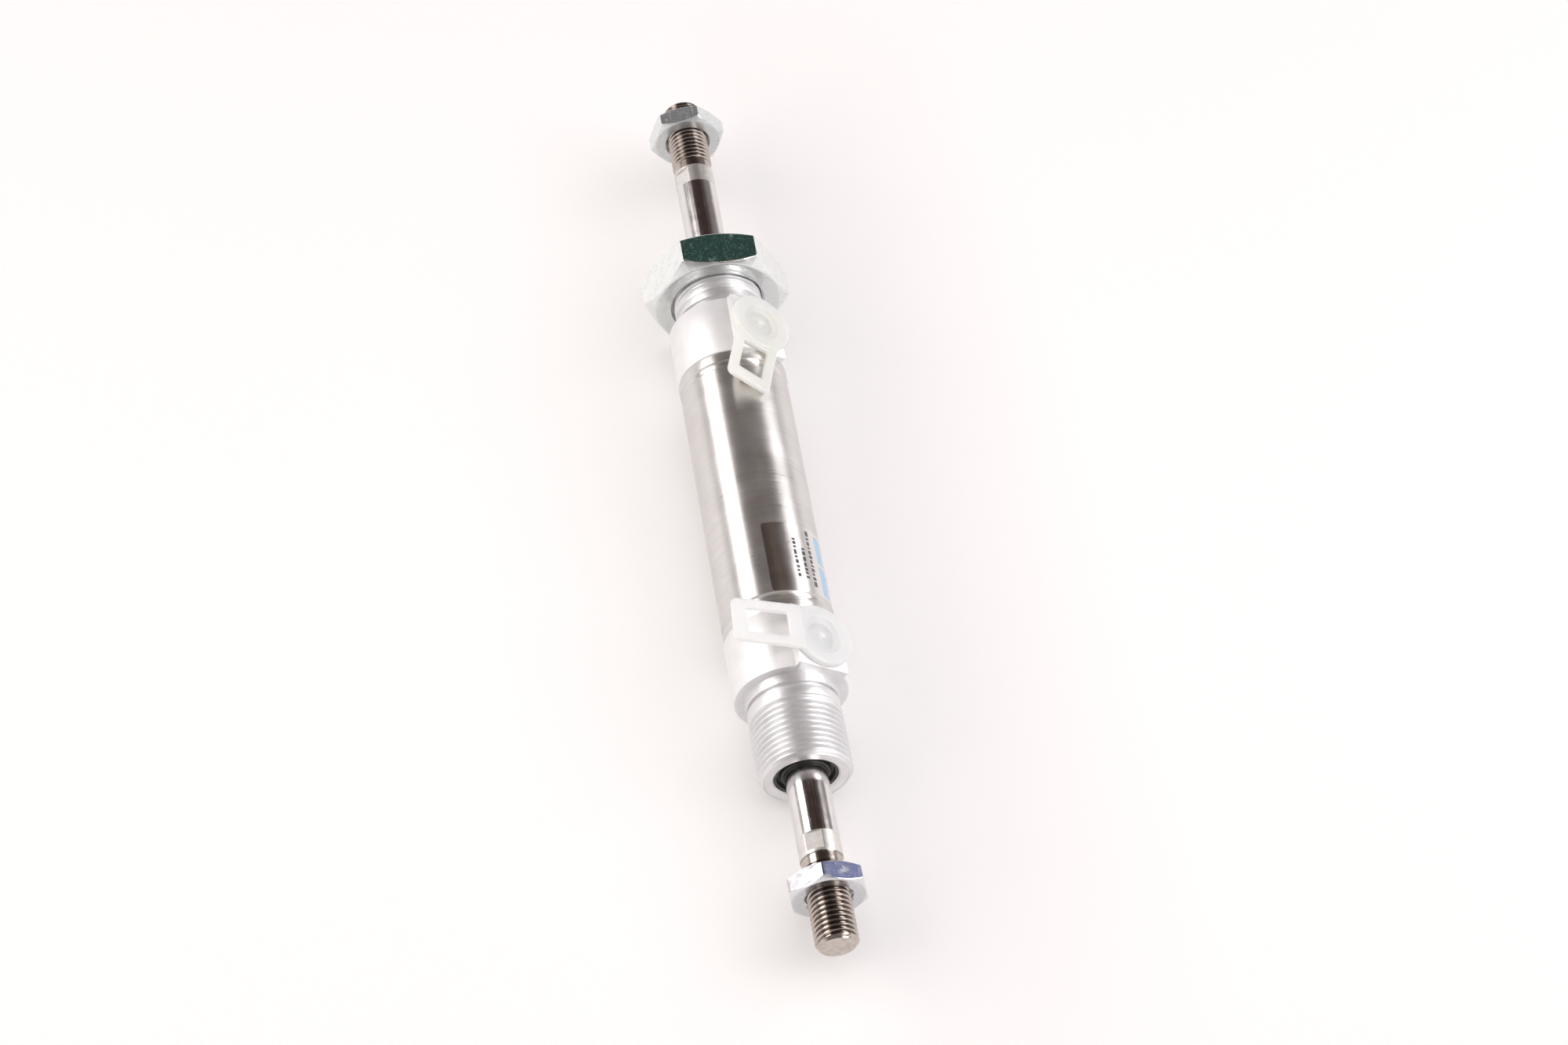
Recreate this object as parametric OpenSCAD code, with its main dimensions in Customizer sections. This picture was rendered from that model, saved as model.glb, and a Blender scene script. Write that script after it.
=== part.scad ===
// Round double-acting pneumatic cylinder with a through piston rod.
// The long axis lies along Y. The near mounting shoulder is at Y = 0 and its neck points
// towards -Y. The far cap, its neck and the mounting nut are at the +Y end.
// Both air ports look out between +Z and +X.

/* [Stroke] */
// Stroke of the piston
stroke = 40; // [20:5:200]
// Distance of the rod's middle from the barrel's middle, towards +Y
rod_offset = 4; // [-8:1:8]

/* [Tube] */
// Bore of the tube
bore_d = 25; // [25:0.1:25.2]
// Outer diameter of the tube
tube_d = 26.5; // [26.4:0.1:26.8]
// Radius of the forming tool that rolls the groove near each tube end
roll_r = 1.2; // [1.1:0.05:1.3]
// Distance from a tube end to its rolled groove
roll_gap = 3.7; // [3.5:0.1:3.9]

/* [End caps] */
// Diameter of the cap heads
cap_d = 27; // [27:0.1:28]
// Visible length of a cap head
head_len = 16.35; // [16:0.05:17]
// Length of the cap spigot inside the tube
spigot_len = 8.9; // [8.9:0.1:9.2]
// Outer diameter of the threaded necks
neck_d = 22; // [21.8:0.1:22]
// Length of the threaded necks
neck_len = 22; // [21:0.5:24]
// Length of the locating collar at the foot of a neck
collar_len = 2.4; // [2:0.1:2.8]
// Diameter of the clearance groove behind the neck thread
neck_groove_d = 20; // [19.6:0.1:20.4]
// Width of the clearance groove behind the neck thread
neck_groove_w = 0.9; // [0.8:0.1:1.2]

/* [Air ports] */
// Direction of both ports, turned from +Z towards +X
port_turn = 31; // [0:1:60]
// Width of the flat pad around a port
pad_w = 13.8; // [13:0.1:14.4]
// Core diameter of the port thread
port_d = 8.57; // [8.5:0.01:8.6]
// Distance from the flat pad to the bottom of a port
port_depth = 6.2; // [6:0.1:6.3]
// Diameter of the air passage from a port to the rod bore
passage_d = 4; // [3:0.5:4]

/* [Rod] */
// Diameter of the piston rod and of its end threads
rod_d = 10; // [9.96:0.01:10]
// Length of the thread at each rod end
rod_thread_len = 22; // [22:0.5:26]
// Distance from a mounting shoulder to the rod shoulder with the rod drawn in
rod_reach = 28; // [28:0.5:32]
// Width across the wrench flats of the rod
rod_flats = 9; // [8.6:0.1:9.4]
// Length of the wrench flats of the rod
rod_flat_len = 4.7; // [4:0.1:4.8]
// Turn of the near wrench flats, from +Z towards +X
near_flat_turn = -20; // [-90:1:90]
// Turn of the far wrench flats, from +Z towards +X
far_flat_turn = -50; // [-90:1:90]
// Diameter of the relief behind each rod thread
rod_relief_d = 9.5; // [9.2:0.1:9.6]

/* [Piston] */
// Outer diameter of the piston
piston_d = 24.4; // [24:0.1:24.4]
// Length of the piston
piston_len = 15.8; // [15.8:0.1:16]
// Gap between moving parts that fit into one another, on the radius
running_gap = 0.05; // [0.03:0.01:0.06]

/* [Nuts] */
// Width across flats of the mounting nut
neck_nut_flats = 32; // [30:1:34]
// Thickness of the mounting nut
neck_nut_len = 10; // [9:0.5:11]
// Distance from the far shoulder to the mounting nut
neck_nut_gap = 8.9; // [4:0.1:10]
// Width across flats of the rod nuts
rod_nut_flats = 17; // [16:1:17]
// Thickness of the rod nuts
rod_nut_len = 5; // [5:0.5:6]
// Distance from the near rod shoulder to its nut
near_nut_gap = 4.75; // [2:0.25:10]
// Distance from the far rod shoulder to its nut
far_nut_gap = 11.45; // [2:0.05:14]
// Turn of the near rod nut about the axis
near_nut_turn = 49; // [0:1:59]
// Turn of the far rod nut about the axis
far_nut_turn = 14; // [0:1:59]

/* [Port plugs] */
// Diameter of the plug flange
plug_d = 16.4; // [16:0.1:16.6]
// Thickness of the plug flange
plug_t = 1.7; // [1.6:0.1:1.8]
// Width of the pull tab's window
tab_window_w = 6.7; // [5:0.1:7]
// Length of the pull tab's window
tab_window_len = 10; // [8:0.5:12]
// Thickness of the pull tab's strap
tab_t = 1.3; // [1.2:0.1:1.4]
// Turn of the far pull tab about its port, away from the barrel's axis
far_tab_turn = 20; // [0:1:25]
// Turn of the near pull tab about its port, towards the barrel's middle
near_tab_turn = 4.5; // [0:0.5:6]
// Downward bend of the near pull tab
near_tab_bend = 17; // [0:1:18]

/* [Label] */
// Length of the label along the tube
label_len = 19.6; // [10:0.2:19.6]
// Distance from the tube's middle to the label's far edge
label_start = 14; // [12:0.2:14]
// Turn of the label's first edge, from +Z towards +X
label_turn = -8.5; // [-30:0.5:30]
// Angle that the label covers
label_angle = 150; // [90:5:170]
// Thickness of the label film
label_t = 0.08; // [0.06:0.01:0.1]

/* [Hidden] */
$fn = 96;
eps = 0.01;
far = 1;
near = -1;
tube_r = tube_d / 2;
bore_r = bore_d / 2;
cap_r = cap_d / 2;
neck_r = neck_d / 2;
rod_r = rod_d / 2;
end_room = 18.4;
tube_half = stroke / 2 + end_room;
shoulder_half = tube_half + head_len;
rod_half = shoulder_half + rod_reach + stroke / 2;
piston_half = piston_len / 2;

// rolled groove of the tube
wall = tube_r - bore_r;
roll_centre_r = tube_r + 0.5;
roll_inner_r = roll_r + wall;
roll_fit = 0.02;

// neck thread and mouth
neck_end_d = 20.2;
neck_plain_len = 2.2;
neck_plain_d = neck_d - 0.3;
seal_d = 15;
seal_pocket_len = 7;
mouth_bevel = 0.5;
edge_bevel = 0.3;

// bores through a cap, measured outwards from the shoulder
bush_d = 12;
bush_in = -4;
bush_out = 14;
rod_way_d = 12.6;
web_d = 10.8;
seal_in = 15.2;
seal_out = 21.3;

// pieces seated in the spigot
o_ring_gap = 2.05;
o_ring_w = 2;
o_ring_t = 1.3;
buffer_d = 19;
buffer_hole_d = 13.6;
buffer_seat = 1.5;
buffer_stand = 1.5;

// rod ends and the seats of the piston
rod_land = 0.85;
rod_relief_len = 2.2;
rod_tip_bevel = 0.9;
rod_shoulder_bevel = 0.15;
thread_groove_gap = 0.2;
thread_groove_w = 0.6;
thread_groove_t = 0.3;
clip_d = 13;
clip_t = 1;
clip_groove_d = 8.8;
clip_seat_d = 13.6;
clip_seat_len = 1.2;
rod_ring_t = 1.1;
rod_ring_w = 1.8;

// piston seals and guide ring
seal_groove_w = 2.6;
seal_groove_d = 19.6;
seal_at = 5;
lip_notch = 0.6;
axial_gap = 0.1;
guide_groove_w = 4;
guide_groove_d = 22.4;
guide_slit = 0.8;

// nuts: width of the flat face as a share of the width across flats, and the thread's countersink
nut_face_share = 0.96;
nut_sink = 0.8;

// plugs
seat_gap = 0.02;
shank_d = port_d - 0.17;
shank_len = 5.4;
shank_bevel = 0.5;
rim_r = 0.75;
dish_d = 9.8;
dish_depth = 0.6;
well_d = 7;
well_depth = 1.5;
knob_d = 1.7;
knob_h = 1.4;
cup_d = 6.4;
cup_floor = 1.1;
tab_lift = 0.25;
tab_leg = 2.6;
tab_bar = 3.5;
tab_round = 1.6;
tab_root = 5.5;
tab_hinge = 8.3;
tab_web = 0.6;
tab_trim = 0.3;

// Colours
steel_colour = [0.72, 0.71, 0.70];
chrome_colour = [0.80, 0.80, 0.81];
zinc_colour = [0.74, 0.78, 0.80];
alloy_colour = [0.84, 0.84, 0.85];
rubber_colour = [0.06, 0.06, 0.065];
bronze_colour = [0.62, 0.48, 0.30];
buffer_colour = [0.80, 0.72, 0.45];
guide_colour = [0.86, 0.84, 0.78];
plug_colour = [0.93, 0.92, 0.86];
film_colour = [0.82, 0.84, 0.86];

// Turns a shape built along Z so that Z becomes Y, with Y = 0 at the barrel's middle.
module along_barrel(at = 0) {
    translate([0, shoulder_half + at, 0]) rotate([-90, 0, 0]) children();
}

// The same, measured from the middle of the piston rod.
module along_rod(at = 0) {
    along_barrel(rod_offset + at) children();
}

// Seats a cap-end shape: its Z points out of the barrel and its X along the ports.
module at_shoulder(side) {
    translate([0, shoulder_half * (1 + side), 0])
        rotate([0, port_turn, 0])
            rotate([0, -90, -90 * side])
                children();
}

// Seats a shape on a port pad: its Z points out of the port, its Y along +Y.
module at_port(side) {
    translate([0, shoulder_half * (1 + side) - side * head_len / 2, 0])
        rotate([0, port_turn, 0])
            translate([0, 0, cap_r])
                children();
}

module ring(outer_r, inner_r, height) {
    difference() {
        cylinder(r = outer_r, h = height);
        translate([0, 0, -eps]) cylinder(r = inner_r, h = height + 2 * eps);
    }
}

// Cylinder whose two ends are bevelled at 45 degrees.
module bevelled(r, h, low, high) {
    rotate_extrude()
        polygon([
            [0, 0], [r - low, 0], [r, low],
            [r, h - high], [r - high, h], [0, h],
        ]);
}

module cylinder_tube() {
    roll_at = tube_half - roll_gap;
    color(steel_colour)
        along_barrel()
            rotate_extrude()
                difference() {
                    union() {
                        translate([bore_r, -tube_half]) square([wall, 2 * tube_half]);
                        for (side = [near, far]) {
                            intersection() {
                                translate([roll_centre_r, side * roll_at]) circle(r = roll_inner_r);
                                translate([bore_r / 2, side * roll_at - roll_inner_r])
                                    square([tube_r - bore_r / 2, 2 * roll_inner_r]);
                            }
                        }
                    }
                    for (side = [near, far]) {
                        translate([roll_centre_r, side * roll_at]) circle(r = roll_r);
                    }
                }
}

// Outline of a cap, half section, with the shoulder at zero and the neck outwards.
module cap_outline() {
    thread_from = collar_len + neck_groove_w;
    end_step = (neck_d - neck_end_d) / 2;
    polygon([
        [0, -head_len - spigot_len],
        [bore_r - edge_bevel, -head_len - spigot_len],
        [bore_r, -head_len - spigot_len + edge_bevel],
        [bore_r, -head_len],
        [cap_r - edge_bevel, -head_len],
        [cap_r, -head_len + edge_bevel],
        [cap_r, -edge_bevel],
        [cap_r - edge_bevel, 0],
        [neck_r, 0],
        [neck_r, collar_len - edge_bevel],
        [neck_r - edge_bevel, collar_len],
        [neck_groove_d / 2, collar_len],
        [neck_groove_d / 2, thread_from],
        [neck_plain_d / 2, thread_from],
        [neck_plain_d / 2, thread_from + neck_plain_len],
        [neck_r, thread_from + neck_plain_len],
        [neck_r, neck_len - end_step],
        [neck_end_d / 2, neck_len],
        [0, neck_len],
    ]);
}

module end_cap(side) {
    port_at = -head_len / 2;
    spigot_end = -head_len - spigot_len;
    pocket_from = neck_len - seal_pocket_len;
    mouth_r = seal_d / 2 + mouth_bevel;
    port_mouth_r = port_d / 2 + mouth_bevel;
    color(alloy_colour)
        at_shoulder(side)
            difference() {
                union() {
                    rotate_extrude()
                        difference() {
                            cap_outline();
                            translate([roll_centre_r, -head_len - roll_gap])
                                circle(r = roll_inner_r + roll_fit);
                            translate([bore_r - o_ring_t, spigot_end + o_ring_gap - o_ring_w / 2])
                                square([o_ring_t + eps, o_ring_w]);
                        }
                    translate([0, -pad_w / 2, -head_len]) cube([cap_r, pad_w, head_len]);
                }
                // stepped way for the rod, its bush and its seal
                translate([0, 0, spigot_end - eps]) cylinder(d = rod_way_d, h = bush_in - spigot_end + eps);
                translate([0, 0, spigot_end - eps]) cylinder(d = buffer_d, h = buffer_seat + eps);
                translate([0, 0, bush_in - eps]) cylinder(d = bush_d, h = bush_out - bush_in + eps);
                translate([0, 0, bush_out - eps]) cylinder(d = web_d, h = neck_len - bush_out);
                translate([0, 0, pocket_from]) cylinder(d = seal_d, h = seal_pocket_len + eps);
                translate([0, 0, neck_len - mouth_bevel])
                    cylinder(r1 = seal_d / 2, r2 = mouth_r, h = mouth_bevel + eps);
                // air port and its passage
                translate([cap_r - port_depth, 0, port_at]) rotate([0, 90, 0])
                    cylinder(d = port_d, h = port_depth + eps);
                translate([cap_r - mouth_bevel, 0, port_at]) rotate([0, 90, 0])
                    cylinder(r1 = port_d / 2, r2 = port_mouth_r, h = mouth_bevel + eps);
                translate([rod_r, 0, port_at]) rotate([0, 90, 0])
                    cylinder(d = passage_d, h = cap_r - port_depth - rod_r + eps);
            }
}

module end_cap_near() {
    end_cap(near);
}

module end_cap_far() {
    end_cap(far);
}

module bush(side) {
    color(bronze_colour)
        at_shoulder(side)
            translate([0, 0, bush_in])
                ring(bush_d / 2, rod_r + running_gap, bush_out - bush_in);
}

module bush_near() {
    bush(near);
}

module bush_far() {
    bush(far);
}

// Rod seal with an inner pressure lip, a ring recess and an outer wiper lip.
module rod_seal(side) {
    lip_r = rod_r + running_gap;
    mid_r = (lip_r + seal_d / 2) / 2;
    recess_w = 0.5;
    color(rubber_colour)
        at_shoulder(side)
            rotate_extrude()
                polygon([
                    [seal_d / 2, seal_in],
                    [seal_d / 2, seal_out - 0.4],
                    [seal_d / 2 - 0.4, seal_out],
                    [mid_r + recess_w, seal_out],
                    [mid_r + recess_w / 2, seal_out - 1.1],
                    [mid_r - recess_w / 2, seal_out - 1.1],
                    [mid_r - recess_w, seal_out - 0.3],
                    [lip_r + 0.4, seal_out],
                    [lip_r, seal_out - 0.3],
                    [lip_r, seal_out - 0.9],
                    [lip_r + 0.5, seal_out - 1.8],
                    [lip_r + 0.5, seal_in + 2],
                    [lip_r, seal_in + 1],
                    [lip_r, seal_in + 0.4],
                    [lip_r + 0.4, seal_in],
                    [mid_r - recess_w, seal_in],
                    [mid_r, seal_in + 1.6],
                    [mid_r + recess_w, seal_in],
                ]);
}

module rod_seal_near() {
    rod_seal(near);
}

module rod_seal_far() {
    rod_seal(far);
}

module tube_o_ring(side) {
    color(rubber_colour)
        at_shoulder(side)
            translate([0, 0, -head_len - spigot_len + o_ring_gap])
                rotate_extrude()
                    translate([bore_r - o_ring_t / 2, 0]) circle(d = o_ring_t);
}

module tube_o_ring_near() {
    tube_o_ring(near);
}

module tube_o_ring_far() {
    tube_o_ring(far);
}

// Elastic ring that stops the piston softly.
module buffer(side) {
    color(buffer_colour)
        at_shoulder(side)
            translate([0, 0, -head_len - spigot_len - buffer_stand])
                ring(buffer_d / 2, buffer_hole_d / 2, buffer_seat + buffer_stand);
}

module buffer_near() {
    buffer(near);
}

module buffer_far() {
    buffer(far);
}

module label_film() {
    color(film_colour)
        along_barrel(-label_start - label_len)
            rotate([0, 0, label_turn - 90])
                rotate_extrude(angle = label_angle)
                    translate([tube_r, 0]) square([label_t, label_len]);
}

// Hexagon with both faces turned down at 30 degrees.
module nut_blank(flats, height) {
    corner_r = flats / sqrt(3);
    outside_r = corner_r + 1;
    face_r = flats / 2 * nut_face_share;
    drop = (outside_r - face_r) * tan(30);
    intersection() {
        cylinder(r = corner_r, h = height, $fn = 6);
        rotate_extrude()
            polygon([
                [0, 0], [face_r, 0], [outside_r, drop],
                [outside_r, height - drop], [face_r, height], [0, height],
            ]);
    }
}

module nut(flats, height, thread_r) {
    hole_r = thread_r + running_gap;
    difference() {
        nut_blank(flats, height);
        translate([0, 0, -eps]) cylinder(r = hole_r, h = height + 2 * eps);
        translate([0, 0, -eps]) cylinder(r1 = hole_r + nut_sink, r2 = hole_r, h = nut_sink);
        translate([0, 0, height - nut_sink + eps])
            cylinder(r1 = hole_r, r2 = hole_r + nut_sink, h = nut_sink);
    }
}

module mounting_nut() {
    color(zinc_colour)
        along_barrel(shoulder_half + neck_nut_gap)
            nut(neck_nut_flats, neck_nut_len, neck_r);
}

module rod_nut_near() {
    color(zinc_colour)
        along_rod(-rod_half - near_nut_gap - rod_nut_len)
            rotate([0, 0, near_nut_turn - 90])
                nut(rod_nut_flats, rod_nut_len, rod_r);
}

module rod_nut_far() {
    color(zinc_colour)
        along_rod(rod_half + far_nut_gap)
            rotate([0, 0, far_nut_turn - 90])
                nut(rod_nut_flats, rod_nut_len, rod_r);
}

// Pull tab lying along +X from the plug's centre, its underside at zero.
module pull_tab(reach) {
    outer_w = tab_window_w + 2 * tab_leg;
    outer_len = reach + tab_window_len + tab_bar;
    linear_extrude(tab_t)
        difference() {
            union() {
                translate([0, -outer_w / 2]) square([outer_len - tab_round, outer_w]);
                translate([0, -outer_w / 2 + tab_round])
                    square([outer_len, outer_w - 2 * tab_round]);
                for (across = [-1, 1]) {
                    translate([outer_len - tab_round, across * (outer_w / 2 - tab_round)])
                        circle(r = tab_round);
                }
            }
            translate([reach, -tab_window_w / 2]) square([tab_window_len, tab_window_w]);
        }
}

// Flange, hollow shank and centre knob of a plug, with the pad at zero.
module plug_body() {
    flange_r = plug_d / 2;
    top = seat_gap + plug_t;
    rotate_extrude()
        difference() {
            union() {
                translate([0, seat_gap]) square([flange_r - rim_r, plug_t]);
                translate([0, seat_gap + rim_r]) square([flange_r, plug_t - 2 * rim_r]);
                for (h = [seat_gap + rim_r, top - rim_r]) {
                    translate([flange_r - rim_r, h]) circle(r = rim_r);
                }
                polygon([
                    [0, -shank_len], [shank_d / 2 - shank_bevel, -shank_len],
                    [shank_d / 2, -shank_len + shank_bevel], [shank_d / 2, seat_gap + eps],
                    [0, seat_gap + eps],
                ]);
            }
            translate([0, top - dish_depth]) square([dish_d / 2, dish_depth + eps]);
            difference() {
                translate([0, top - well_depth]) square([well_d / 2, well_depth]);
                translate([0, top - well_depth]) square([knob_d / 2, knob_h]);
            }
            translate([0, -shank_len - eps])
                square([cup_d / 2, shank_len + top - well_depth - cup_floor]);
        }
}

// A straight tab leaves the flange level; a bent one drops over the cap's round side.
// Its root is trimmed so that it stays below the top of the flange.
module port_plug(side, turn, bend) {
    color(plug_colour)
        at_port(side) {
            plug_body();
            difference() {
                rotate([0, 0, turn])
                    translate([tab_hinge, 0, tab_lift])
                        rotate([0, bend, 0])
                            translate([-tab_hinge + tab_root, 0, 0])
                                pull_tab(tab_hinge - tab_root + tab_web);
                translate([0, 0, seat_gap + plug_t - eps])
                    cylinder(r = plug_d / 2 - tab_trim, h = plug_t);
            }
        }
}

module port_plug_near() {
    port_plug(near, 180 - near_tab_turn, near_tab_bend);
}

module port_plug_far() {
    port_plug(far, -90 - far_tab_turn, 0);
}

// One end of the rod: plain rod, wrench flats, land, relief and thread, towards +Z.
// A ring groove in front of the nut marks where the free thread starts.
module rod_end(flat_turn, nut_gap) {
    flat_from = rod_half - rod_land - rod_flat_len;
    relief_end = rod_half + rod_relief_len;
    groove_from = rod_half + nut_gap + rod_nut_len + thread_groove_gap;
    difference() {
        rotate_extrude()
            polygon([
                [0, 0], [rod_r, 0],
                [rod_r, rod_half - rod_shoulder_bevel],
                [rod_r - rod_shoulder_bevel, rod_half],
                [rod_relief_d / 2, rod_half],
                [rod_relief_d / 2, relief_end],
                [rod_r, relief_end + (rod_d - rod_relief_d) / 2],
                [rod_r, rod_half + rod_thread_len - rod_tip_bevel],
                [rod_r - rod_tip_bevel, rod_half + rod_thread_len],
                [0, rod_half + rod_thread_len],
            ]);
        for (face = [0, 180]) {
            rotate([0, 0, flat_turn + face])
                translate([rod_flats / 2, -rod_r, flat_from])
                    cube([rod_r, rod_d, rod_flat_len]);
        }
        translate([0, 0, groove_from])
            ring(rod_r + 1, rod_r - thread_groove_t, thread_groove_w);
    }
}

module piston_rod() {
    clip_mid = piston_half - clip_seat_len / 2;
    color(chrome_colour)
        along_rod()
            difference() {
                union() {
                    rod_end(far_flat_turn - 90, far_nut_gap);
                    mirror([0, 0, 1]) rod_end(near_flat_turn - 90, near_nut_gap);
                }
                for (at = [-clip_mid, clip_mid]) {
                    translate([0, 0, at - clip_t / 2])
                        ring(rod_r + 1, clip_groove_d / 2, clip_t);
                }
                translate([0, 0, -rod_ring_w / 2])
                    ring(rod_r + 1, rod_r - rod_ring_t, rod_ring_w);
            }
}

module piston() {
    color(alloy_colour)
        along_rod()
            rotate_extrude()
                difference() {
                    translate([rod_r, -piston_half]) square([piston_d / 2 - rod_r, piston_len]);
                    for (side = [-1, 1]) {
                        translate([seal_groove_d / 2, side * seal_at - seal_groove_w / 2])
                            square([piston_d, seal_groove_w]);
                        translate([0, side * (piston_half - clip_seat_len / 2) - clip_seat_len / 2])
                            square([clip_seat_d / 2, clip_seat_len + eps]);
                    }
                    translate([guide_groove_d / 2, -guide_groove_w / 2])
                        square([piston_d, guide_groove_w]);
                }
}

module rod_o_ring() {
    color(rubber_colour)
        along_rod()
            rotate_extrude()
                translate([rod_r - rod_ring_t / 2, 0]) circle(d = rod_ring_t);
}

// Open spring ring that holds the piston on the rod.
module clip(side) {
    opening = 5;
    color(steel_colour)
        along_rod(side * (piston_half - clip_seat_len / 2) - clip_t / 2)
            difference() {
                ring(clip_d / 2, clip_groove_d / 2, clip_t);
                translate([0, -opening / 2, -eps]) cube([clip_d, opening, clip_t + 2 * eps]);
            }
}

module clip_near() {
    clip(near);
}

module clip_far() {
    clip(far);
}

// Lip seal that opens towards its side of the piston.
module piston_seal(side) {
    inner_r = seal_groove_d / 2 + running_gap;
    outer_r = bore_r - running_gap;
    mid_r = (inner_r + outer_r) / 2;
    half_w = seal_groove_w / 2 - axial_gap;
    color(rubber_colour)
        along_rod(side * seal_at)
            rotate([side == far ? 0 : 180, 0, 0])
                rotate_extrude()
                    polygon([
                        [inner_r, -half_w], [outer_r - 0.4, -half_w], [outer_r, half_w - 0.8],
                        [outer_r, half_w], [mid_r + lip_notch, half_w],
                        [mid_r, -half_w + 1], [mid_r - lip_notch, half_w], [inner_r, half_w],
                    ]);
}

module piston_seal_near() {
    piston_seal(near);
}

module piston_seal_far() {
    piston_seal(far);
}

// Slit plastic band that carries the piston in the tube.
module guide_ring() {
    band_w = guide_groove_w - 2 * axial_gap;
    color(guide_colour)
        along_rod(-band_w / 2)
            difference() {
                ring(bore_r - running_gap, guide_groove_d / 2 + running_gap, band_w);
                translate([0, -guide_slit / 2, -eps]) cube([bore_r, guide_slit, band_w + 2 * eps]);
            }
}

cylinder_tube();
end_cap_near();
end_cap_far();
bush_near();
bush_far();
rod_seal_near();
rod_seal_far();
tube_o_ring_near();
tube_o_ring_far();
buffer_near();
buffer_far();
label_film();
mounting_nut();
port_plug_near();
port_plug_far();
piston_rod();
piston();
rod_o_ring();
clip_near();
clip_far();
piston_seal_near();
piston_seal_far();
guide_ring();
rod_nut_near();
rod_nut_far();
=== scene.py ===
"""Looks of a round pneumatic cylinder with a through rod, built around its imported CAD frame.

Shapes are worked out in millimetres along the barrel's axis, Y, and become metres when a
mesh is made. Angles around the axis run from +Z towards +X.
"""

import math
import random

import bmesh
import bpy
import numpy as np
from mathutils import Matrix, Vector


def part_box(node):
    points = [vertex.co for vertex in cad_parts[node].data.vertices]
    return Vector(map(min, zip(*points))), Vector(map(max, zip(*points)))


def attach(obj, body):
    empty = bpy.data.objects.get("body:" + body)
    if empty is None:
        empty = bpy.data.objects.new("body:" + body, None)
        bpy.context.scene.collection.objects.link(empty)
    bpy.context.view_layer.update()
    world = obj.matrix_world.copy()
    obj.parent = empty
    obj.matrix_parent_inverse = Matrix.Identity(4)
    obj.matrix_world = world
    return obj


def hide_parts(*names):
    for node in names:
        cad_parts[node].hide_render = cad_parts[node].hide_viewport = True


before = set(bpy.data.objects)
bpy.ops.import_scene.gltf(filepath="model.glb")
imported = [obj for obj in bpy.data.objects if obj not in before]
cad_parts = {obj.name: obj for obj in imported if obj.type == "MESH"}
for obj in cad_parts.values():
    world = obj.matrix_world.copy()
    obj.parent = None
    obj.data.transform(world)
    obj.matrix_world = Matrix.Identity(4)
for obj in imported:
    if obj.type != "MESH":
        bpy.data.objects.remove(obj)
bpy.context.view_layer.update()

MM = 0.001
TAU = 2 * math.pi
WELD = 2e-7
COLLECTION = bpy.context.scene.collection

# Sizes in millimetres, the same as in the CAD model
NECK_LEN, NECK_R, NECK_END_R, NECK_PITCH = 22.0, 11.0, 10.1, 1.5
COLLAR_LEN, GROOVE_R, GROOVE_W, PLAIN_R, PLAIN_LEN = 2.4, 10.0, 0.9, 10.85, 2.2
HEAD_LEN, CAP_R, PAD_HALF, PORT_TURN = 16.35, 13.5, 6.9, 31.0
SPIGOT_LEN, BORE_R, TUBE_R, ROLL_GAP = 8.9, 12.5, 13.25, 3.7
WALL, ROLL_TOOL_R, ROLL_CENTRE_R = TUBE_R - BORE_R, 1.2, TUBE_R + 0.5
ROD_R, ROD_THREAD_LEN, ROD_PITCH = 5.0, 22.0, 1.25
ROD_FLAT_HALF, ROD_FLAT_LEN, ROD_LAND = 4.5, 4.7, 0.85
RELIEF_R, RELIEF_LEN, TIP_BEVEL, SHOULDER_BEVEL = 4.75, 2.2, 0.9, 0.15
NEAR_FLAT_TURN, FAR_FLAT_TURN = -20.0, -50.0
PORT_R, PORT_ROOT_R, PORT_DEPTH, PORT_PITCH, PASSAGE_R = 4.285, 4.86, 6.2, 0.907, 2.0
SPIGOT_R, MOUTH_R, ROD_HOLE_R, AIR_ROOM_R, UNDER_THREAD_R = 9.5, 7.5, 5.4, 6.3, 9.98
SEAL_SEAT, BUSH_R, BUSH_FROM, BUSH_TO = 15.0, 6.0, -4.0, 14.0
O_RING_SLOT_R, O_RING_SLOT_FROM, O_RING_SLOT_TO = 11.2, 1.05, 3.05
EDGE = 0.3
THREAD_DEPTH = 0.6134    # depth of a 60 degree outside thread, as a share of its pitch
PISTON_SLOTS = ((-7.3, 0.5, 4.4), (0.0, 0.9, 3.9), (7.3, 0.5, 4.4))    # place, half width, bottom radius
PLUG_SEAT, FLANGE_R, FLANGE_T, SHANK_R, SHANK_LEN, SHANK_BORE_R = 0.02, 8.2, 1.7, 4.2, 5.4, 3.2
SHANK_BORE_TOP = -0.88
DISH_R, DISH_DEPTH, WELL_R, WELL_DEPTH, KNOB_R, KNOB_DROP = 4.9, 0.6, 3.5, 1.5, 0.85, 0.1
TAB_HINGE, TAB_ROOT, TAB_LIFT, TAB_TRIM = 8.3, 5.5, 0.25, 0.3
TAB_WEB, TAB_LEG, TAB_BAR, TAB_T, TAB_CORNER = 0.6, 2.6, 3.5, 1.3, 1.6
WINDOW_W, WINDOW_LEN = 6.7, 10.0
LABEL_START, LABEL_COVER = -8.5, 150.0
FILM_R, PRINT_R = TUBE_R + 0.065, TUBE_R + 0.078


# ---------------------------------------------------------------- mesh helpers

def ring_angles(count, extra=()):
    """Angles once around, closing on itself, with extra ones given in degrees."""
    even = [k * TAU / count for k in range(count)]
    return np.array(sorted(even + [math.radians(a) % TAU for a in extra]) + [TAU])


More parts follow.
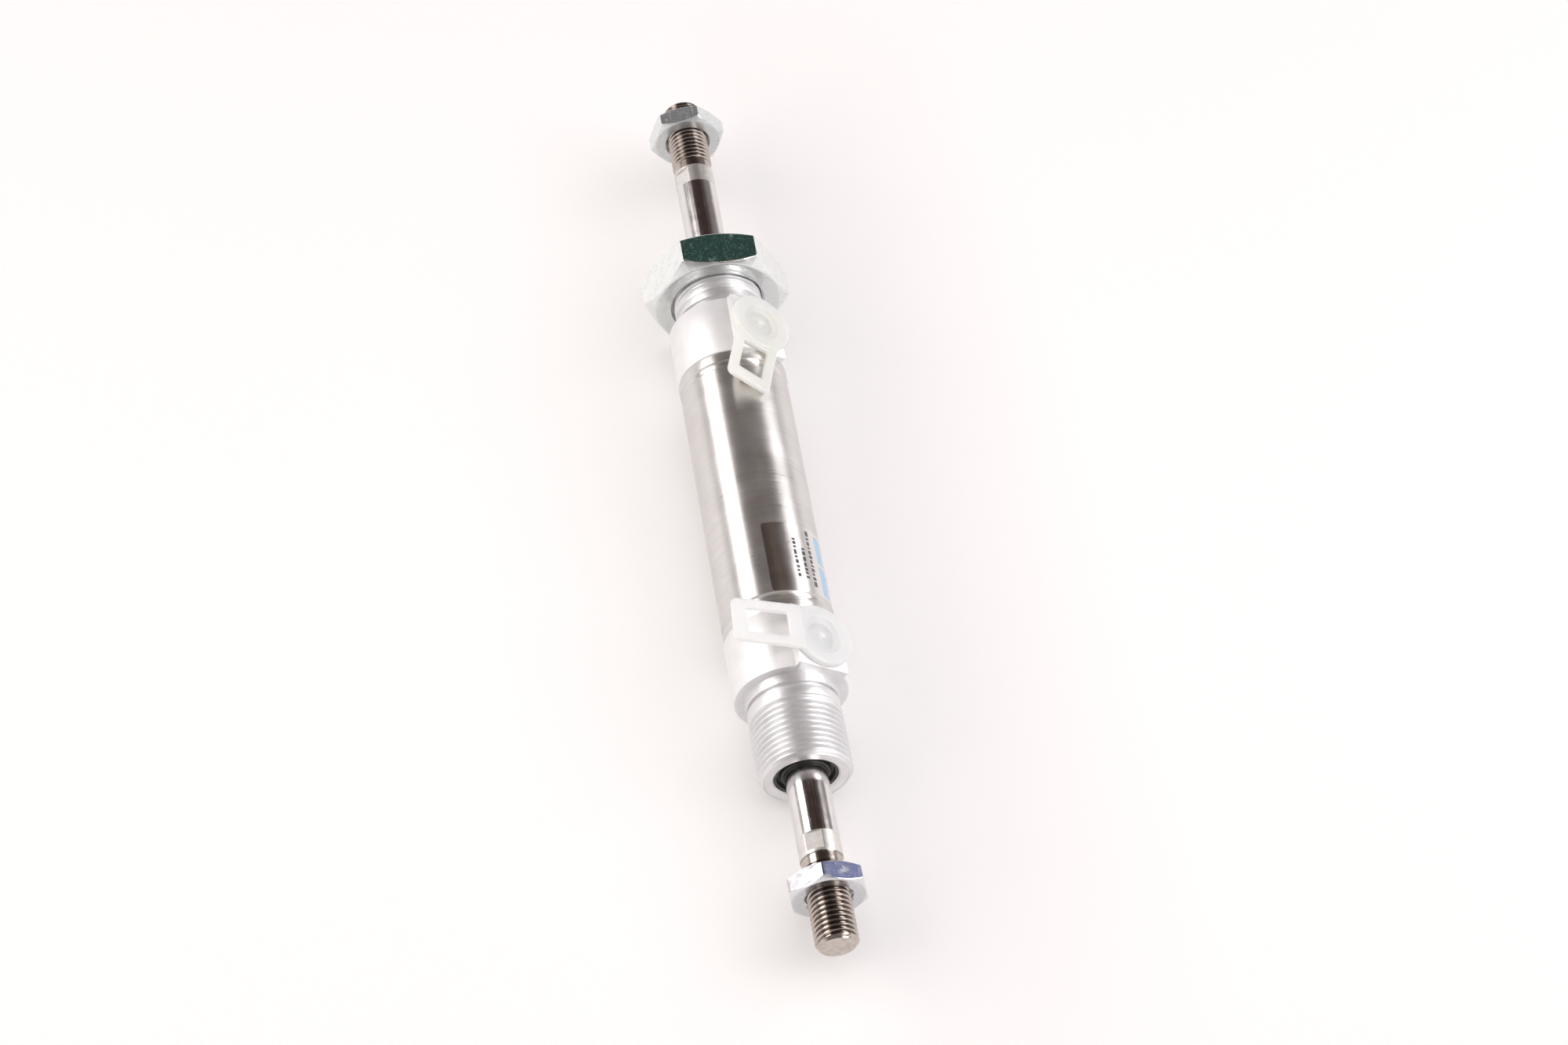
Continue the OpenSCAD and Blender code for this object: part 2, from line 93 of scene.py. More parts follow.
def rounded(points, steps=3):
    """Closed profile of (radius, y, rounding) with its corners rounded."""
    out = []
    for i, (r, y, rounding) in enumerate(points):
        here = Vector((r, y))
        if not rounding:
            out.append(tuple(here))
            continue
        start = here + (Vector(points[i - 1][:2]) - here).normalized() * rounding
        end = here + (Vector(points[(i + 1) % len(points)][:2]) - here).normalized() * rounding
        for t in np.linspace(0, 1, steps + 1):
            out.append(tuple(start * (1 - t) ** 2 + here * (2 * t * (1 - t)) + end * t ** 2))
    return out


def circle_row(angles, r, y):
    """Points of radius r at height y; both may change with the angle."""
    r, y = np.broadcast_to(r, angles.shape), np.broadcast_to(y, angles.shape)
    return np.stack([r * np.sin(angles), y, r * np.cos(angles)], -1)


class Shell:
    """Collects strips of quads in millimetres and makes one object of them."""

    def __init__(self):
        self.points, self.quads, self.slots, self.count = [], [], [], 0

    def strip(self, rows, slot=0):
        rows = np.asarray(rows, float)
        high, wide = rows.shape[:2]
        at = self.count + np.arange(high * wide).reshape(high, wide)
        quads = np.stack([at[:-1, :-1], at[:-1, 1:], at[1:, 1:], at[1:, :-1]], -1)
        self.points.append(rows.reshape(-1, 3))
        self.quads.append(quads.reshape(-1, 4))
        self.slots += [slot] * len(self.quads[-1])
        self.count += high * wide
        return self

    def lathe(self, profile, angles, closed=True):
        profile = profile + profile[:1] if closed else profile
        return self.strip([circle_row(angles, r, y) for r, y in profile])

    def mesh(self, name, matrix=Matrix()):
        mesh = bpy.data.meshes.new(name)
        mesh.from_pydata((np.vstack(self.points) * MM).tolist(), [], np.vstack(self.quads).tolist())
        mesh.polygons.foreach_set("material_index", self.slots)
        clean(mesh)
        mesh.transform(matrix)
        return mesh


def clean(mesh):
    """Welds coincident points, drops empty faces and turns every face outwards."""
    bm = bmesh.new()
    bm.from_mesh(mesh)
    bmesh.ops.remove_doubles(bm, verts=bm.verts, dist=WELD)
    bmesh.ops.dissolve_degenerate(bm, edges=bm.edges, dist=WELD)
    bmesh.ops.recalc_face_normals(bm, faces=bm.faces)
    bm.to_mesh(mesh)
    bm.free()


def link(name, mesh):
    obj = bpy.data.objects.new(name, mesh)
    COLLECTION.objects.link(obj)
    return obj


def evaluated_mesh(obj):
    """New mesh of what an object's modifiers or its curve settings make of it."""
    bpy.context.view_layer.update()
    return bpy.data.meshes.new_from_object(obj.evaluated_get(bpy.context.evaluated_depsgraph_get()))


def settle(obj):
    """Replaces the object's mesh by what its modifiers make of it."""
    mesh = evaluated_mesh(obj)
    obj.modifiers.clear()
    obj.data = mesh


def joined(name, meshes):
    """One mesh holding copies of several, with their material numbers kept."""
    bm = bmesh.new()
    for mesh in meshes:
        bm.from_mesh(mesh)
    out = bpy.data.meshes.new(name)
    bm.to_mesh(out)
    bm.free()
    return out


def place(name, mesh, materials, body, node, sharp=35):
    """Shades a finished mesh, gives it its materials and lets it stand for its CAD node."""
    obj = link(name, mesh)
    slots = [0] * len(mesh.polygons)
    mesh.polygons.foreach_get("material_index", slots)
    mesh.materials.clear()
    for material in materials:
        mesh.materials.append(material)
    mesh.polygons.foreach_set("material_index", slots)
    mesh.shade_smooth()
    mesh.set_sharp_from_angle(angle=math.radians(sharp))
    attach(obj, body)
    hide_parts(node)
    return obj


def span(node):
    """Lowest and highest place of a CAD node along the axis, in millimetres."""
    low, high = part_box(node)
    return low.y / MM, high.y / MM


NEAR_SHOULDER = span("end_cap_near")[0] + NECK_LEN
FAR_SHOULDER = span("end_cap_far")[1] - NECK_LEN


# ---------------------------------------------------------------- screw threads

THREAD_STEPS = (0.0, 0.09, 0.18, 0.28, 0.38, 0.45, 0.55, 0.62, 0.72, 0.82, 0.91)


def thread_cut(phase):
    """Depth of a 60 degree thread as a share: 0 on the crest, 1 at the root."""
    away = np.clip((np.abs(phase - 0.5) - 0.055) / 0.31, 0, 1)
    return 0.45 * away + 0.55 * away * away * (3 - 2 * away)


def thread_rows(angles, y_from, y_to, pitch, radius):
    """Rows that follow a right-hand screw between two flat ends.

    radius(cut, y, angles) turns the share of the thread's depth into a radius.
    """
    turn = angles / TAU
    rows = []
    for lap in range(-1, int((y_to - y_from) / pitch) + 2):
        for step in THREAD_STEPS:
            y = np.clip(y_from + (lap + step + turn) * pitch, y_from, y_to)
            cut = thread_cut(((y - y_from) / pitch - turn) % 1)
            rows.append(circle_row(angles, radius(cut, y, angles), y))
    return rows


def nicks(seed, count, y_from, y_to, depth, size):
    """Small dents: a function of height and angle that says how deep the surface sinks."""
    rng = random.Random(seed)
    spots = [(rng.uniform(y_from, y_to), rng.uniform(0, TAU), rng.uniform(0.4, 1)) for _ in range(count)]

    def sink(y, angles, r):
        total = np.zeros_like(angles)
        for y0, a0, scale in spots:
            across = (np.angle(np.exp(1j * (angles - a0))) * r) ** 2 + (y - y0) ** 2
            total += depth * scale * np.exp(-across / (size * scale) ** 2)
        return total
    return sink


# ---------------------------------------------------------------- materials

def add(tree, kind, inputs=(), **settings):
    """Adds a node. Each input is a value or the output socket that feeds it."""
    node = tree.nodes.new("ShaderNode" + kind)
    for key, value in settings.items():
        setattr(node, key, value)
    for key, value in dict(inputs).items():
        if isinstance(value, bpy.types.NodeSocket):
            tree.links.new(value, node.inputs[key])
        else:
            node.inputs[key].default_value = value
    return node


def maths(tree, operation, *values):
    return add(tree, "Math", dict(enumerate(values)), operation=operation).outputs[0]


def ramp(tree, value, stops):
    """Colour ramp through (place, colour) stops."""
    node = add(tree, "ValToRGB", {"Fac": value})
    while len(node.color_ramp.elements) < len(stops):
        node.color_ramp.elements.new(0.5)
    for element, (at, colour) in zip(node.color_ramp.elements, stops):
        element.position = at
        element.color = (*colour, 1)
    return node.outputs["Color"]


def span_map(tree, value, low, high, to_low, to_high):
    node = add(tree, "MapRange", {"Value": value, "From Min": low, "From Max": high,
                                  "To Min": to_low, "To Max": to_high})
    return node.outputs["Result"]


def noise(tree, vector, scale, detail=3, rough=0.5):
    node = add(tree, "TexNoise", {"Vector": vector, "Scale": scale, "Detail": detail, "Roughness": rough})
    return node.outputs["Fac"]


def place_of(tree):
    return add(tree, "TexCoord").outputs["Object"]


def parts_of(tree, vector):
    return add(tree, "SeparateXYZ", {"Vector": vector}).outputs


def away_from(tree, value, middle):
    return maths(tree, "ABSOLUTE", maths(tree, "SUBTRACT", value, middle))


def from_axis(tree):
    """The three object coordinates and the distance from the axis."""
    x, y, z = parts_of(tree, place_of(tree))
    away = maths(tree, "SQRT", maths(tree, "ADD", maths(tree, "MULTIPLY", x, x),
                                     maths(tree, "MULTIPLY", z, z)))
    return x, y, z, away


def turned_lines(tree, per_mm, drift=0.02, detail=3):
    """Tool lines around the axis: fine along Y and outwards, long around."""
    x, y, z, away = from_axis(tree)
    fine = per_mm / MM
    around = fine * drift
    stretched = add(tree, "CombineXYZ", {
        "X": maths(tree, "MULTIPLY", x, around), "Y": maths(tree, "MULTIPLY", y, fine),
        "Z": maths(tree, "MULTIPLY", z, around)})
    lines = add(tree, "TexNoise", {"Vector": stretched.outputs[0], "W": maths(tree, "MULTIPLY", away, fine),
                                   "Scale": 1.0, "Detail": detail, "Roughness": 0.6},
                noise_dimensions="4D")
    return lines.outputs["Fac"]


def scratches(tree, per_mm, tilt, keep=0.72):
    """Sparse straight scratches in one direction, as a mask."""
    stretched = add(tree, "Mapping", {"Vector": place_of(tree), "Rotation": tilt,
                                      "Scale": (per_mm / MM, per_mm / MM * 0.04, per_mm / MM)})
    return span_map(tree, noise(tree, stretched.outputs[0], 1.0, 2), keep, keep + 0.06, 0, 1)


def lengthwise(tree, per_mm, detail=2):
    """Streaks that run along the axis."""
    stretched = add(tree, "Mapping", {"Vector": place_of(tree),
                                      "Scale": (per_mm / MM, per_mm / MM * 0.012, per_mm / MM)})
    return noise(tree, stretched.outputs[0], 1.0, detail)


def bump(tree, height, depth_mm, strength=1.0, normal=None):
    inputs = {"Height": height, "Distance": depth_mm * MM, "Strength": strength}
    if normal is not None:
        inputs["Normal"] = normal
    return add(tree, "Bump", inputs).outputs["Normal"]


def mix(tree, fac, first, second):
    """Blend of two colours; each may be a colour or an output socket."""
    node = tree.nodes.new("ShaderNodeMix")
    node.data_type = "RGBA"
    for index, value in ((0, fac), (6, first), (7, second)):
        if isinstance(value, bpy.types.NodeSocket):
            tree.links.new(value, node.inputs[index])
        elif index:
            node.inputs[index].default_value = (*value, 1)
        else:
            node.inputs[index].default_value = value
    return node.outputs[2]


def material(name, **constants):
    """A Principled material with constants on its own sockets, and its node tree."""
    made = bpy.data.materials.new(name)
    made.use_nodes = True
    shader = made.node_tree.nodes["Principled BSDF"]
    for socket, value in constants.items():
        shader.inputs[socket.replace("_", " ")].default_value = value
    return made, made.node_tree, shader


def feed(tree, shader, **sockets):
    for socket, value in sockets.items():
        tree.links.new(value, shader.inputs[socket.replace("_", " ")])


def toned(colour, factor):
    return tuple(c * factor for c in colour)


def edge_wear_and_highlight(tree, strength):
    """Mask of convex edges, up to a strength; lightening with it stands partly for edge wear and partly for
    painted highlights.
    """
    return span_map(tree, add(tree, "NewGeometry").outputs["Pointiness"], 0.54, 0.66, 0, strength)


def around_y(tree):
    """Tangent that runs around the axis, for brushed metal."""
    return add(tree, "Tangent", direction_type="RADIAL", axis="Y").outputs[0]


def brushed_steel():
    """Stainless tube, polished around its axis."""
    made, tree, shader = material("tube_steel", Metallic=0.88, Anisotropic=0.75, Anisotropic_Rotation=0.25)
    lines = turned_lines(tree, 7, 0.01, 4)
    wide = turned_lines(tree, 2.2, 0.02)
    smudge = noise(tree, place_of(tree), 140, 4)
    grain = bump(tree, noise(tree, place_of(tree), 3600, 2), 0.005, 0.5)
    tone = mix(tree, span_map(tree, smudge, 0.35, 0.65, 0, 1), (0.69, 0.672, 0.655), (0.76, 0.745, 0.73))
    tone = mix(tree, span_map(tree, lines, 0.4, 0.75, 0, 0.7), tone, (0.54, 0.52, 0.505))
    rough = maths(tree, "ADD", span_map(tree, wide, 0.3, 0.7, 0.26, 0.34),
                  span_map(tree, smudge, 0.4, 0.7, 0, 0.05))
    feed(tree, shader, Base_Color=tone, Roughness=rough,
         Normal=bump(tree, lines, 0.007, 0.45, grain),
         Tangent=around_y(tree))
    return made


def cap_alloy():
    """Satin machined aluminium of the heads."""
    made, tree, shader = material("cap_alloy", Metallic=0.45)
    grain = noise(tree, place_of(tree), 7000, 2)
    lines = turned_lines(tree, 7, 0.02)
    cloud = noise(tree, place_of(tree), 220, 3)
    tone = mix(tree, span_map(tree, cloud, 0.3, 0.7, 0, 1), (0.84, 0.838, 0.842), (0.90, 0.897, 0.90))
    tone = mix(tree, span_map(tree, lines, 0.55, 0.75, 0, 0.35), tone, (0.66, 0.66, 0.67))
    feed(tree, shader, Base_Color=tone,
         Roughness=span_map(tree, grain, 0.3, 0.7, 0.42, 0.56),
         Normal=bump(tree, grain, 0.006, 0.35, bump(tree, lines, 0.01, 0.35)))
    return made


def neck_alloy():
    """Turned aluminium of the necks and their threads."""
    made, tree, shader = material("neck_alloy", Metallic=0.8)
    lines = turned_lines(tree, 6, 0.015)
    cloud = noise(tree, place_of(tree), 260, 3)
    tone = mix(tree, span_map(tree, cloud, 0.3, 0.7, 0, 1), (0.76, 0.757, 0.765), (0.83, 0.828, 0.835))
    tone = mix(tree, span_map(tree, lines, 0.5, 0.75, 0, 0.4), tone, (0.58, 0.575, 0.58))
    feed(tree, shader, Base_Color=tone,
         Roughness=span_map(tree, lines, 0.3, 0.7, 0.34, 0.46),
         Normal=bump(tree, lines, 0.012, 0.45))
    return made


def chrome():
    """Hard chrome of the plain rod, hazed and lightly scratched along the stroke."""
    made, tree, shader = material("rod_chrome", Metallic=1.0)
    lines = turned_lines(tree, 12, 0.01)
    haze = noise(tree, place_of(tree), 420, 4)
    streak = lengthwise(tree, 2.4)
    nick = scratches(tree, 1.6, (0.4, 1.1, 0.5), 0.7)
    tone = mix(tree, span_map(tree, haze, 0.3, 0.7, 0, 1), (0.73, 0.708, 0.70), (0.79, 0.77, 0.762))
    rough = maths(tree, "ADD", span_map(tree, haze, 0.3, 0.7, 0.14, 0.19),
                  maths(tree, "ADD", span_map(tree, streak, 0.45, 0.75, 0, 0.1),
                        maths(tree, "MULTIPLY", nick, 0.2)))
    feed(tree, shader, Base_Color=tone, Roughness=rough,
         Normal=bump(tree, lines, 0.004, 0.35, bump(tree, streak, 0.005, 0.3)))
    return made


def turned_steel():
    """Turned steel of the rod's threads, with painted shade down in the grooves but not on the bevelled tips.
    """
    made, tree, shader = material("rod_turned_steel", Metallic=1.0)
    lines = turned_lines(tree, 8, 0.015)
    stain_and_top_shade = noise(tree, place_of(tree), 900, 3)
    tone = mix(tree, span_map(tree, stain_and_top_shade, 0.4, 0.7, 0, 1), (0.55, 0.505, 0.475), (0.46, 0.395, 0.34))
    low, high = (end * MM for end in span("piston_rod"))
    middle, half = (low + high) / 2, (high - low) / 2
    _, along, _, away = from_axis(tree)
    # Painted shade: the thread grooves are darkened towards a near-black brown, away from the bevelled tips.
    inside = span_map(tree, away_from(tree, along, middle), half - 1.4 * MM, half - MM, 1, 0)
    grooves = maths(tree, "MULTIPLY", inside, span_map(tree, away, 4.35 * MM, 4.72 * MM, 0.85, 0))
    feed(tree, shader,
         Base_Color=mix(tree, grooves, tone, (0.13, 0.105, 0.09)),
         Roughness=span_map(tree, lines, 0.3, 0.7, 0.16, 0.26),
         Normal=bump(tree, lines, 0.008, 0.4))
    return made


def milled_steel():
    """Pale satin steel of the wrench flats."""
    made, tree, shader = material("rod_milled_steel", Metallic=0.88)
    lines = lengthwise(tree, 5, 3)
    stain_and_top_shade = span_map(tree, noise(tree, place_of(tree), 700, 3), 0.35, 0.7, 0, 1)
    feed(tree, shader,
         Base_Color=mix(tree, stain_and_top_shade, (0.76, 0.74, 0.72), (0.66, 0.635, 0.61)),
         Roughness=span_map(tree, lines, 0.3, 0.7, 0.36, 0.48),
         Normal=bump(tree, lines, 0.01, 0.4))
    return made


def bright_zinc(name, pale, stain_and_top_shade, facing, metallic, seed):
    """Zinc plate, with painted shade that makes it greyer on its flat ends, and a painted dark, tinted
    reflection on the faces whose normals look up along +Z.

    facing is the pair of normal heights at which the painted reflection starts and is full.
    """
    made, tree, shader = material(name)
    here = add(tree, "Mapping", {"Vector": place_of(tree), "Location": (seed, seed, 0)}).outputs[0]
    film = noise(tree, here, 420, 5, 0.6)
    speck = noise(tree, here, 2900, 3, 0.65)
    marks = maths(tree, "MULTIPLY", maths(tree, "MAXIMUM", scratches(tree, 3.2, (0.3, 0.5, 0.9)),
                                          scratches(tree, 2.4, (1.2, 0.2, 2.2))), 0.3)
    _, along, upwards = parts_of(tree, add(tree, "TexCoord").outputs["Normal"])
    # Painted shade: the flat end faces of the nut are made greyer than its sides.
    end_face_shade = span_map(tree, maths(tree, "ABSOLUTE", along), 0.8, 0.95, 0, 1)
    # Painted reflection: faces whose normals look up along +Z get a dark tinted colour that stands for the
    # dim room mirrored in them.
    up_facing_shade = span_map(tree, upwards, *facing, 0, 1)
    deep = mix(tree, span_map(tree, film, 0.38, 0.62, 0, 1), stain_and_top_shade, toned(stain_and_top_shade, 0.55))
    flecks = maths(tree, "MAXIMUM", span_map(tree, speck, 0.56, 0.72, 0, 0.26),
                   span_map(tree, film, 0.55, 0.72, 0, 0.3))
    tone = mix(tree, span_map(tree, film, 0.35, 0.65, 0, 1), pale, toned(pale, 0.93))
    tone = mix(tree, end_face_shade, tone, toned(pale, 0.78))
    tone = mix(tree, up_facing_shade, tone, deep)
    tone = mix(tree, flecks, tone, (0.86, 0.88, 0.89))
    # Scratches and convex edges are lightened; on the edges this is partly wear and partly a painted
    # highlight.
    tone = mix(tree, maths(tree, "MAXIMUM", marks, edge_wear_and_highlight(tree, 0.5)), tone, (0.93, 0.93, 0.94))
    rough = maths(tree, "ADD", span_map(tree, film, 0.3, 0.7, 0.14, 0.28), marks)
    height = maths(tree, "SUBTRACT", maths(tree, "MULTIPLY", speck, 0.5), marks)
    feed(tree, shader, Base_Color=tone, Roughness=rough, Normal=bump(tree, height, 0.012, 0.5),
         Metallic=span_map(tree, flecks, 0, 0.3, metallic, 0.6 * metallic))
    return made


def milky_plastic(name, tint, deep):
    """Translucent white moulding; a faint glow stands for light that comes through it."""
    made, tree, shader = material(
        name, Subsurface_Weight=1.0, Subsurface_Scale=0.004, Subsurface_Radius=(1.0, 0.95, 0.8), IOR=1.46,
        Transmission_Weight=0.2, Emission_Color=(*tint, 1), Emission_Strength=0.07)
    cloud = noise(tree, place_of(tree), 330, 3)
    orange = noise(tree, place_of(tree), 2600, 2)
    feed(tree, shader,
         Base_Color=mix(tree, span_map(tree, cloud, 0.35, 0.65, 0, 1), tint, deep),
         Roughness=span_map(tree, cloud, 0.3, 0.7, 0.3, 0.42),
         Normal=bump(tree, orange, 0.012, 0.3, bump(tree, cloud, 0.05, 0.3)))
    return made


def label_foil():
    """Silvery film of the label."""
    made, tree, shader = material("label_foil", Metallic=1.0, Anisotropic=0.8, Anisotropic_Rotation=0.25)
    lines = turned_lines(tree, 9, 0.012, 2)
    ripple = noise(tree, place_of(tree), 300, 2)
    feed(tree, shader,
         Base_Color=mix(tree, span_map(tree, lines, 0.3, 0.7, 0, 1), (0.74, 0.725, 0.71), (0.80, 0.79, 0.78)),
         Roughness=span_map(tree, ripple, 0.3, 0.7, 0.27, 0.33),
         Normal=bump(tree, ripple, 0.01, 0.3),
         Tangent=around_y(tree))
    return made


def print_ink(name, colour, pale):
    """Glossy print with a fine grain."""
    made, tree, shader = material(name, Coat_Weight=0.6, Coat_Roughness=0.06)
    grain = noise(tree, place_of(tree), 5200, 2)
    feed(tree, shader,
         Base_Color=mix(tree, span_map(tree, grain, 0.45, 0.75, 0, 0.6), colour, pale),
         Roughness=span_map(tree, grain, 0.3, 0.7, 0.32, 0.45))
    return made


def dull_solid(name, dark, light, rough, lines_per_mm, metallic=0.0):
    """A turned or moulded inner piece in two close tones."""
    made, tree, shader = material(name, Metallic=metallic)
    lines = turned_lines(tree, lines_per_mm, 0.03)
    cloud = noise(tree, place_of(tree), 600, 4)
    feed(tree, shader,
         Base_Color=mix(tree, span_map(tree, cloud, 0.35, 0.65, 0, 1), dark, light),
         Roughness=span_map(tree, cloud, 0.3, 0.7, rough - 0.06, rough + 0.08),
         Normal=bump(tree, lines, 0.01, 0.4))
    return made


TUBE_STEEL = brushed_steel()
CAP_ALLOY = cap_alloy()
NECK_ALLOY = neck_alloy()
CHROME = chrome()
TURNED_STEEL = turned_steel()
MILLED_STEEL = milled_steel()
# The second colour of each zinc is the painted dark reflection on its up-facing faces; the first is the
# plating's own pale tone.
ZINC_GREEN = bright_zinc("zinc_mounting_nut", (0.885, 0.915, 0.905), (0.21, 0.50, 0.455),
                         (0.88, 0.96), 0.92, 0.0)
ZINC_BLUE = bright_zinc("zinc_rod_nut", (0.83, 0.84, 0.87), (0.16, 0.175, 0.31), (0.84, 0.92), 0.95, 0.4)
ZINC_GREY = bright_zinc("zinc_rod_nut_far", (0.80, 0.83, 0.835), (0.56, 0.60, 0.62), (0.84, 0.92), 0.66, 0.8)
PLUG_WHITE = milky_plastic("plug_plastic_near", (0.97, 0.97, 0.955), (0.95, 0.95, 0.92))
PLUG_CREAM = milky_plastic("plug_plastic_far", (0.965, 0.96, 0.90), (0.945, 0.935, 0.84))
FOIL = label_foil()
INK_DARK = print_ink("label_ink_dark", (0.05, 0.045, 0.045), (0.16, 0.15, 0.15))
INK_BLUE = print_ink("label_ink_blue", (0.30, 0.58, 0.86), (0.50, 0.72, 0.92))
RUBBER = dull_solid("seal_rubber", (0.018, 0.017, 0.018), (0.035, 0.033, 0.034), 0.42, 3)
BRONZE = dull_solid("bush_bronze", (0.46, 0.31, 0.16), (0.60, 0.44, 0.25), 0.34, 6, 1.0)
BUFFER = dull_solid("buffer_elastomer", (0.62, 0.50, 0.22), (0.72, 0.60, 0.30), 0.45, 3)
CLIP = dull_solid("clip_steel", (0.34, 0.33, 0.33), (0.46, 0.45, 0.44), 0.3, 5, 1.0)
GUIDE = dull_solid("guide_plastic", (0.74, 0.71, 0.62), (0.82, 0.79, 0.70), 0.4, 5)
PISTON_ALLOY = dull_solid("piston_alloy", (0.78, 0.78, 0.79), (0.86, 0.86, 0.87), 0.32, 6, 1.0)

# Inner pieces that keep their CAD meshes
for inner_material, nodes in (
        (BRONZE, ("bush_near", "bush_far")), (BUFFER, ("buffer_near", "buffer_far")),
        (PISTON_ALLOY, ("piston",)), (CLIP, ("clip_near", "clip_far")), (GUIDE, ("guide_ring",)),
        (RUBBER, ("tube_o_ring_near", "tube_o_ring_far", "rod_o_ring", "piston_seal_near",
                  "piston_seal_far"))):
    for node in nodes:
        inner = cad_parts[node]
        inner.data.materials.clear()
        inner.data.materials.append(inner_material)


# ---------------------------------------------------------------- tube

def rolled_groove(y, outwards, tool_r, centre_r, surface_r):
    """Points of a rolled groove from one lip to the other, in the order of rising y."""
    reach = math.acos((centre_r - surface_r) / tool_r)
    turns = np.linspace(-reach, reach, 9)
    if not outwards:
        turns = turns[::-1]
    return [(centre_r - tool_r * math.cos(a), y + tool_r * math.sin(a), 0) for a in turns]


def make_tube():
    """Tube skin with both rolled grooves, outside and inside."""
    low, high = span("cylinder_tube")
    grooves = (low + ROLL_GAP, high - ROLL_GAP)
    outer = [(TUBE_R, low, 0.25)]
    for y in grooves:
        outer += rolled_groove(y, True, ROLL_TOOL_R, ROLL_CENTRE_R, TUBE_R)
    outer += [(TUBE_R, high, 0.25), (BORE_R, high, 0.1)]
    for y in reversed(grooves):
        outer += rolled_groove(y, False, ROLL_TOOL_R + WALL, ROLL_CENTRE_R, BORE_R)
    outer += [(BORE_R, low, 0.1)]
    shell = Shell().lathe(rounded(outer), ring_angles(144))
    return place("tube_skin", shell.mesh("tube_skin"), [TUBE_STEEL], "barrel", "cylinder_tube")


# ---------------------------------------------------------------- end caps

def head_row(y, inset):
    """Outline of a cap head with its port pad towards +Z, pulled in by inset."""
    r, half = CAP_R - inset, PAD_HALF - inset
    corner = 0.25
    wall_turn = math.asin(half / r)
    flat = [(x, r) for x in np.linspace(0, half - corner, 6)]
    corner_arc = [(half - corner + corner * math.sin(a), r - corner + corner * math.cos(a))
                  for a in np.linspace(0.4, TAU / 4, 4)]
    wall = [(half, z) for z in np.linspace(r - corner, r * math.cos(wall_turn), 4)[1:]]
    rest = [(r * math.sin(a), r * math.cos(a)) for a in np.linspace(wall_turn, TAU / 2, 66)[1:]]
    side = flat + corner_arc + wall + rest
    mirrored = [(-x, z) for x, z in reversed(side[:-1])]
    return np.array([(x, y, z) for x, z in side + mirrored])


def cap_core():
    """Cap without its thread: shoulder at y = 0, neck towards +Y, port towards +Z."""
    head = [head_row(-HEAD_LEN, EDGE), head_row(-HEAD_LEN + 0.1, 0.09), head_row(-HEAD_LEN + EDGE, 0),
            head_row(-EDGE, 0), head_row(-0.1, 0.09), head_row(0, EDGE)]
    outline = head_row(0, 0)
    angles = np.arctan2(outline[:, 0], outline[:, 2])
    spigot_end = -HEAD_LEN - SPIGOT_LEN
    groove_end = COLLAR_LEN + GROOVE_W
    plain_end = groove_end + PLAIN_LEN
    slot_from, slot_to = spigot_end + O_RING_SLOT_FROM, spigot_end + O_RING_SLOT_TO
    before = [(SPIGOT_R, spigot_end, 0), (BORE_R, spigot_end, EDGE), (BORE_R, slot_from, 0),
              (O_RING_SLOT_R, slot_from, 0), (O_RING_SLOT_R, slot_to, 0), (BORE_R, slot_to, 0)]
    before += rolled_groove(-HEAD_LEN - ROLL_GAP, True, ROLL_TOOL_R + WALL + 0.02, ROLL_CENTRE_R, BORE_R)
    before += [(BORE_R, -HEAD_LEN, 0)]
    after = [(NECK_R + 0.15, 0, 0), (NECK_R, 0, 0.12), (NECK_R, COLLAR_LEN, EDGE),
             (GROOVE_R, COLLAR_LEN, 0.12), (GROOVE_R, groove_end, 0.12),
             (PLAIN_R, groove_end, 0.18), (PLAIN_R, plain_end, 0.05), (UNDER_THREAD_R, plain_end, 0),
             (UNDER_THREAD_R, NECK_LEN - 0.12, 0.1), (9.7, NECK_LEN, 0.1),
             (MOUTH_R + 0.5, NECK_LEN, 0.12), (MOUTH_R, NECK_LEN - 0.5, 0.12), (MOUTH_R, SEAL_SEAT, 0),
             (ROD_HOLE_R, SEAL_SEAT, 0), (ROD_HOLE_R, BUSH_TO, 0), (BUSH_R, BUSH_TO, 0),
             (BUSH_R, BUSH_FROM, 0), (AIR_ROOM_R, BUSH_FROM, 0), (AIR_ROOM_R, spigot_end + 1.5, 0),
             (SPIGOT_R, spigot_end + 1.5, 0), (SPIGOT_R, spigot_end, 0)]

    def rows(points):
        return [circle_row(angles, r, y) for r, y in rounded(points)]

    core = Shell().strip(rows(before) + head)
    return core.strip(head[-1:] + rows(after), 1).mesh("cap_core")


PORT_UPRIGHT = Matrix.Translation((0, -HEAD_LEN / 2 * MM, 0)) @ Matrix.Rotation(TAU / 4, 4, "X")


def port_tool():
    """What is drilled away for an air port, standing on the pad of the head."""
    bottom, passage_end = CAP_R - PORT_DEPTH, ROD_R - 0.6
    profile = [(0, passage_end), (PASSAGE_R, passage_end), (PASSAGE_R, bottom), (PORT_ROOT_R, bottom),
               (PORT_ROOT_R, CAP_R - 0.35), (PORT_ROOT_R + 0.6, CAP_R + 0.25), (0, CAP_R + 0.25)]
    return Shell().lathe(profile, ring_angles(64), closed=False).mesh("port_tool", PORT_UPRIGHT)


def port_thread():
    """Inside thread of an air port, as a sleeve sunk into the port's wall."""
    angles = ring_angles(64)
    low, high = CAP_R - PORT_DEPTH, CAP_R - 0.25
    depth = PORT_ROOT_R - PORT_R

    def radius(cut, y, _):
        lead_in = PORT_ROOT_R - (high - y)
        return np.minimum(PORT_ROOT_R + 0.02, np.maximum(PORT_R + depth * (1 - cut), lead_in))

    rows = thread_rows(angles, low, high, PORT_PITCH, radius)
    rows += [circle_row(angles, PORT_ROOT_R + 0.1, y) for y in (high, low)] + rows[:1]
    return Shell().strip(rows).mesh("port_thread", PORT_UPRIGHT)


